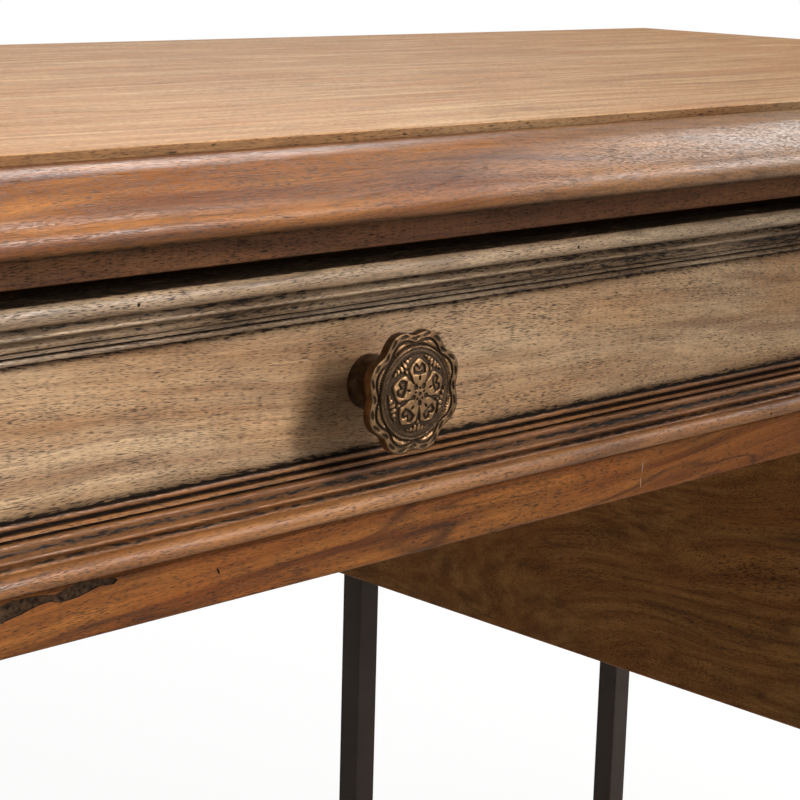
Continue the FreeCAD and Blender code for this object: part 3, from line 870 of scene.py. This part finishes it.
# Rubbed ridges glint a soft bronze gold, and the hollows stay dark brown and dull
brass, tree, shader = new_finish("antique_brass")
place = add(tree, "TexCoord", {}).outputs["Object"]
hollow = add(tree, "Attribute", {}, attribute_name="hollow").outputs["Fac"]
spread = {"Vector": place, "Scale": 1 / (3 * MM), "Detail": 4, "Roughness": 0.6}
mottle = add(tree, "TexNoise", spread).outputs[0]
speck = add(tree, "TexNoise", {"Vector": place, "Scale": 1 / (0.7 * MM), "Detail": 2}).outputs[0]
age = add(tree, "Math", {0: mottle, 1: 0.5, 2: hollow}, operation="MULTIPLY_ADD").outputs[0]
age = add(tree, "MapRange", {0: age, 1: 0.2, 2: 0.85}, interpolation_type="SMOOTHSTEP").outputs[0]
colour = add(tree, "Mix", {0: age, 6: linear("#977451"), 7: linear("#3a2918")}, data_type="RGBA").outputs[2]
warm = add(tree, "MapRange", {0: speck, 1: 0.35, 2: 0.7, 3: 1.1, 4: 0.8}).outputs[0]
colour = add(tree, "Mix", {0: 1.0, 6: colour, 7: warm}, data_type="RGBA", blend_type="MULTIPLY").outputs[2]
tree.links.new(colour, shader.inputs["Base Color"])
dull = add(tree, "MapRange", {0: age, 3: 0.36, 4: 0.62}).outputs[0]
tree.links.new(dull, shader.inputs["Roughness"])
bump = add(tree, "Bump", {"Height": speck, "Strength": 0.3, "Distance": 0.1 * MM}).outputs[0]
tree.links.new(bump, shader.inputs["Normal"])
bare = add(tree, "MapRange", {0: age, 3: 1.0, 4: 0.75}).outputs[0]
tree.links.new(bare, shader.inputs["Metallic"])
pattern.data.materials.append(brass)
for drawer in drawers:
    low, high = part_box(drawer + "_knob")
    knob = pattern.copy()
    knob.data = pattern.data.copy()
    knob.name = drawer + "_knob_cast"
    bpy.context.collection.objects.link(knob)
    knob.data.transform(Matrix.Translation(((low[0] + high[0]) / 2, high[1], (low[2] + high[2]) / 2)))
    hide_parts(drawer + "_knob")
    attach(knob, drawer)
bpy.data.objects.remove(pattern)

# Studio
# White paper under the desk, burnt out far off and shadowed near the legs. Five soft panels: a key from the
# front right along the drawer, a low fill, a window on the right for the edging, one overhead and one behind.
FLOOR_SIZE = 14
GLOSSY_SHARE = 0.2
bpy.ops.object.select_all(action="DESELECT")
bpy.ops.mesh.primitive_plane_add(size=FLOOR_SIZE, location=(0, 0, 0))
floor = bpy.context.object
floor.name = "studio_floor"
# Matt white that burns out to the background but keeps the shadow of the desk
paper, tree, shader = new_finish("white_paper")
shader.inputs["Roughness"].default_value = 0.9
shader.inputs["Base Color"].default_value = linear("#cfcfcc")
rays = add(tree, "LightPath", {})
place = add(tree, "TexCoord", {}).outputs["Object"]
away = add(tree, "VectorMath", {0: place}, operation="LENGTH").outputs["Value"]
fade = add(tree, "MapRange", {0: away, 1: 1.0, 2: 3.5, 3: 0.7, 4: 1.0}).outputs[0]
share = add(tree, "Math", {0: rays.outputs["Is Camera Ray"], 1: fade}, operation="MULTIPLY").outputs[0]
glossy = {0: rays.outputs["Is Glossy Ray"], 1: GLOSSY_SHARE, 2: share}
share = add(tree, "Math", glossy, operation="MULTIPLY_ADD").outputs[0]
glow = add(tree, "Emission", {"Color": (1, 1, 1, 1), "Strength": 1.2})
mix = add(tree, "MixShader", {0: share, 1: shader.outputs[0], 2: glow.outputs[0]})
tree.links.new(mix.outputs[0], tree.nodes["Material Output"].inputs["Surface"])
floor.data.materials.append(paper)

world = bpy.data.worlds.new("studio")
bpy.context.scene.world = world
world.use_nodes = True
tree = world.node_tree
rays = add(tree, "LightPath", {})
straight = {0: rays.outputs["Is Camera Ray"], 1: rays.outputs["Is Transmission Ray"]}
seen = add(tree, "Math", straight, operation="MAXIMUM").outputs[0]
glossy = {0: rays.outputs["Is Glossy Ray"], 1: GLOSSY_SHARE, 2: seen}
seen = add(tree, "Math", glossy, operation="MULTIPLY_ADD").outputs[0]
level = add(tree, "MapRange", {0: seen, 3: 0.06, 4: 1.0}).outputs[0]
tree.nodes["Background"].inputs["Color"].default_value = (1, 1, 1, 1)
tree.links.new(level, tree.nodes["Background"].inputs["Strength"])

# Each panel: where it hangs and what it faces, its width and height in metres, watts and spread in degrees
for name, place, aim, wide, tall, power, spread in (
    ("key", (0.75, -1.62, 1.7), (-0.8, -0.2, 0.6), 0.5, 1.4, 9.5, 55),
    ("low", (0.75, -2.05, 0.62), (-0.1, -0.2, 0.65), 0.7, 0.5, 6, 180),
    ("window", (2.3, -0.5, 1.9), (0.3, -0.2, 0.7), 1.0, 1.0, 35, 180),
    ("overhead", (-0.2, -0.25, 2.3), (-0.2, -0.2, 0.7), 0.7, 1.2, 14.5, 180),
    ("back", (1.3, 1.4, 2.15), (0.0, -0.2, 0.75), 1.0, 1.0, 8, 120),
):
    lamp = bpy.data.lights.new(name, "AREA")
    lamp.shape = "RECTANGLE"
    lamp.size = wide
    lamp.size_y = tall
    lamp.energy = power
    lamp.spread = math.radians(spread)
    holder = bpy.data.objects.new(name, lamp)
    holder.location = place
    holder.rotation_euler = (Vector(aim) - Vector(place)).to_track_quat("-Z", "Y").to_euler()
    bpy.context.collection.objects.link(holder)

# Camera
# A long lens close to the drawer, a little above the top and to the left of the knob.
eye = bpy.data.cameras.new("camera")
eye.sensor_width = 36
eye.lens = 96.75
camera = bpy.data.objects.new("camera", eye)
right = Vector((0.7139, -0.6998, 0.0267))
up = Vector((0.1356, 0.1756, 0.9752))
ahead = Vector((0.6870, 0.6925, -0.2203))
stand = Matrix((right, up, -ahead)).transposed().to_4x4()
stand.translation = (-0.5166, -0.7463, 0.8322)
camera.matrix_world = stand
bpy.context.collection.objects.link(camera)
bpy.context.scene.camera = camera
bpy.context.scene.view_settings.view_transform = "Standard"
